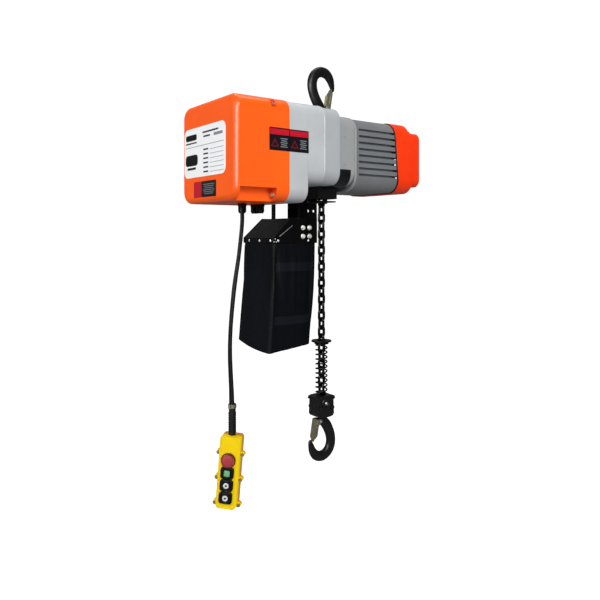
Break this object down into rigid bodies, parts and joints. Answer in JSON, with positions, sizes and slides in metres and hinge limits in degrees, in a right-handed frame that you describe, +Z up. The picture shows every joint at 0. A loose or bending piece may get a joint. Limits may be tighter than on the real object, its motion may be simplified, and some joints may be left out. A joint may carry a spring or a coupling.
{
  "type": "electric chain hoist",
  "caption": "Electric chain hoist: motor, gear case and load chain over a sheave, with a top hook, a buffered hook block, a fabric chain bag and a hanging push-button pendant.",
  "frame": {"origin": "seat of the top hook, the point at the crown of its bend that rests on a beam clamp or ring", "axes": "+X along the motor shaft from the control cover to the brake cover, +Z up along the load chain, the stickered side faces -Y"},
  "size_m": [0.558, 0.2448, 0.9823],
  "materials": {
    "orange_cover": "gloss",
    "end_orange": "gloss",
    "light_casting": "satin",
    "frame_casting": "satin",
    "black_forging": "satin",
    "black_sheet": "satin",
    "latch_steel": "satin",
    "zinc_steel": "satin",
    "chain_steel": "satin",
    "gear_steel": "satin",
    "core_steel": "matt",
    "copper_winding": "satin",
    "control_plastic": "matt",
    "black_plastic": "satin",
    "rubber_black": "matt",
    "bag_fabric": "matt",
    "pendant_yellow": "gloss",
    "estop_red": "gloss"
  },
  "bodies": {
    "suspension": {"top_hook": "black_forging", "hook_nut": "zinc_steel", "top_latch_pin": "zinc_steel"},
    "hoist": {"control_cover": "orange_cover", "cover_screws": "zinc_steel", "gear_case": "light_casting", "gear_case_lid": "light_casting", "case_bolts": "zinc_steel", "hoist_frame": "frame_casting", "motor_housing": "frame_casting", "end_cover": "end_orange", "end_cover_screws": "zinc_steel", "stator_core": "core_steel", "stator_windings": "copper_winding", "brake_coil": "core_steel", "motor_bearings": "zinc_steel", "idler_bearings": "zinc_steel", "sheave_bearings": "zinc_steel", "control_plate": "zinc_steel", "contactors": "control_plastic", "transformer": "core_steel", "cable_glands": "black_plastic", "chain_guide": "black_forging", "limit_lever_pin": "zinc_steel", "slack_chain": "chain_steel", "bag_hanger": "black_sheet", "bag_frame": "black_sheet", "chain_bag": "bag_fabric", "pendant_cable": "rubber_black", "support_wire": "zinc_steel", "pendant_boot": "rubber_black", "cable_clamp": "zinc_steel", "pendant_front": "pendant_yellow", "pendant_back": "pendant_yellow", "pendant_screws": "zinc_steel"},
    "top_latch": {"top_latch": "latch_steel"},
    "rotor": {"motor_shaft": "zinc_steel", "motor_rotor": "core_steel", "brake_disc": "core_steel", "cooling_fan": "control_plastic"},
    "idler": {"idler_shaft": "zinc_steel", "idler_gear": "gear_steel"},
    "sheave": {"sheave_shaft": "zinc_steel", "load_sheave": "gear_steel", "output_gear": "gear_steel"},
    "limit_lever": {"limit_lever": "black_sheet"},
    "hook_block": {"load_chain": "chain_steel", "buffer_spring": "chain_steel", "block_front": "black_forging", "block_back": "black_forging", "block_bolts": "zinc_steel", "chain_pin": "zinc_steel"},
    "buffer_plate": {"spring_plate": "black_sheet"},
    "load_hook": {"load_hook": "black_forging", "load_latch_pin": "zinc_steel"},
    "load_latch": {"load_latch": "latch_steel"},
    "estop_button": {"estop_button": "estop_red"},
    "start_button": {"start_button": "black_plastic"},
    "up_button": {"up_button": "black_plastic"},
    "down_button": {"down_button": "black_plastic"}
  },
  "joints": [
    {"name": "hook_swivel", "type": "hinge", "parent": "suspension", "child": "hoist", "pos_m": [0, 0, -0.1], "axis": [0, 0, 1], "continuous": true},
    {"name": "top_latch_turn", "type": "hinge", "parent": "suspension", "child": "top_latch", "pos_m": [0.01, 0, -0.072], "axis": [0, -1, 0], "range_deg": [0, 35], "stiffness_Nm_per_rad": 0.02, "springref_deg": -22.92},
    {"name": "motor_spin", "type": "hinge", "parent": "hoist", "child": "rotor", "pos_m": [0, 0.03024, -0.182], "axis": [-1, 0, 0], "range_deg": [0, 21690.95]},
    {"name": "idler_spin", "type": "hinge", "parent": "hoist", "child": "idler", "pos_m": [0, 0.07957, -0.16404], "axis": [-1, 0, 0], "range_deg": [-3616.16, 0]},
    {"name": "sheave_spin", "type": "hinge", "parent": "hoist", "child": "sheave", "pos_m": [0, 0.03024, -0.182], "axis": [-1, 0, 0], "range_deg": [0, 603.53]},
    {"name": "lift", "type": "slide", "parent": "hoist", "child": "hook_block", "axis": [0, 0, 1], "range_m": [0, 0.3181], "deforming": ["load_chain"]},
    {"name": "limit_lever_tilt", "type": "hinge", "parent": "hoist", "child": "limit_lever", "pos_m": [0, 0.021, -0.291], "axis": [-1, 0, 0], "range_deg": [0, 3], "stiffness_Nm_per_rad": 0.3, "springref_deg": -2.86},
    {"name": "buffer", "type": "slide", "parent": "hook_block", "child": "buffer_plate", "axis": [0, 0, -1], "range_m": [0, 0.03], "stiffness_N_per_m": 2500, "deforming": ["buffer_spring"]},
    {"name": "hook_turn", "type": "hinge", "parent": "hook_block", "child": "load_hook", "pos_m": [0, 0, -0.78], "axis": [0, 0, 1], "continuous": true},
    {"name": "load_latch_turn", "type": "hinge", "parent": "load_hook", "child": "load_latch", "pos_m": [-0.01, 0, -0.801], "axis": [0, -1, 0], "range_deg": [0, 35], "stiffness_Nm_per_rad": 0.02, "springref_deg": -22.92},
    {"name": "estop_press", "type": "slide", "parent": "hoist", "child": "estop_button", "axis": [0.6947, 0.7193, 0], "range_m": [0, 0.004]},
    {"name": "start_press", "type": "slide", "parent": "hoist", "child": "start_button", "axis": [0.6947, 0.7193, 0], "range_m": [0, 0.003], "stiffness_N_per_m": 400, "springref_m": -0.002},
    {"name": "up_press", "type": "slide", "parent": "hoist", "child": "up_button", "axis": [0.6947, 0.7193, 0], "range_m": [0, 0.003], "stiffness_N_per_m": 400, "springref_m": -0.002},
    {"name": "down_press", "type": "slide", "parent": "hoist", "child": "down_button", "axis": [0.6947, 0.7193, 0], "range_m": [0, 0.003], "stiffness_N_per_m": 400, "springref_m": -0.002}
  ],
  "couplings": [
    {"joint": "idler_spin", "follows": "motor_spin", "ratio": -0.16667},
    {"joint": "sheave_spin", "follows": "motor_spin", "ratio": 0.027778},
    {"joint": "lift", "follows": "motor_spin", "m_per_rad": 0.00083998}
  ]
}
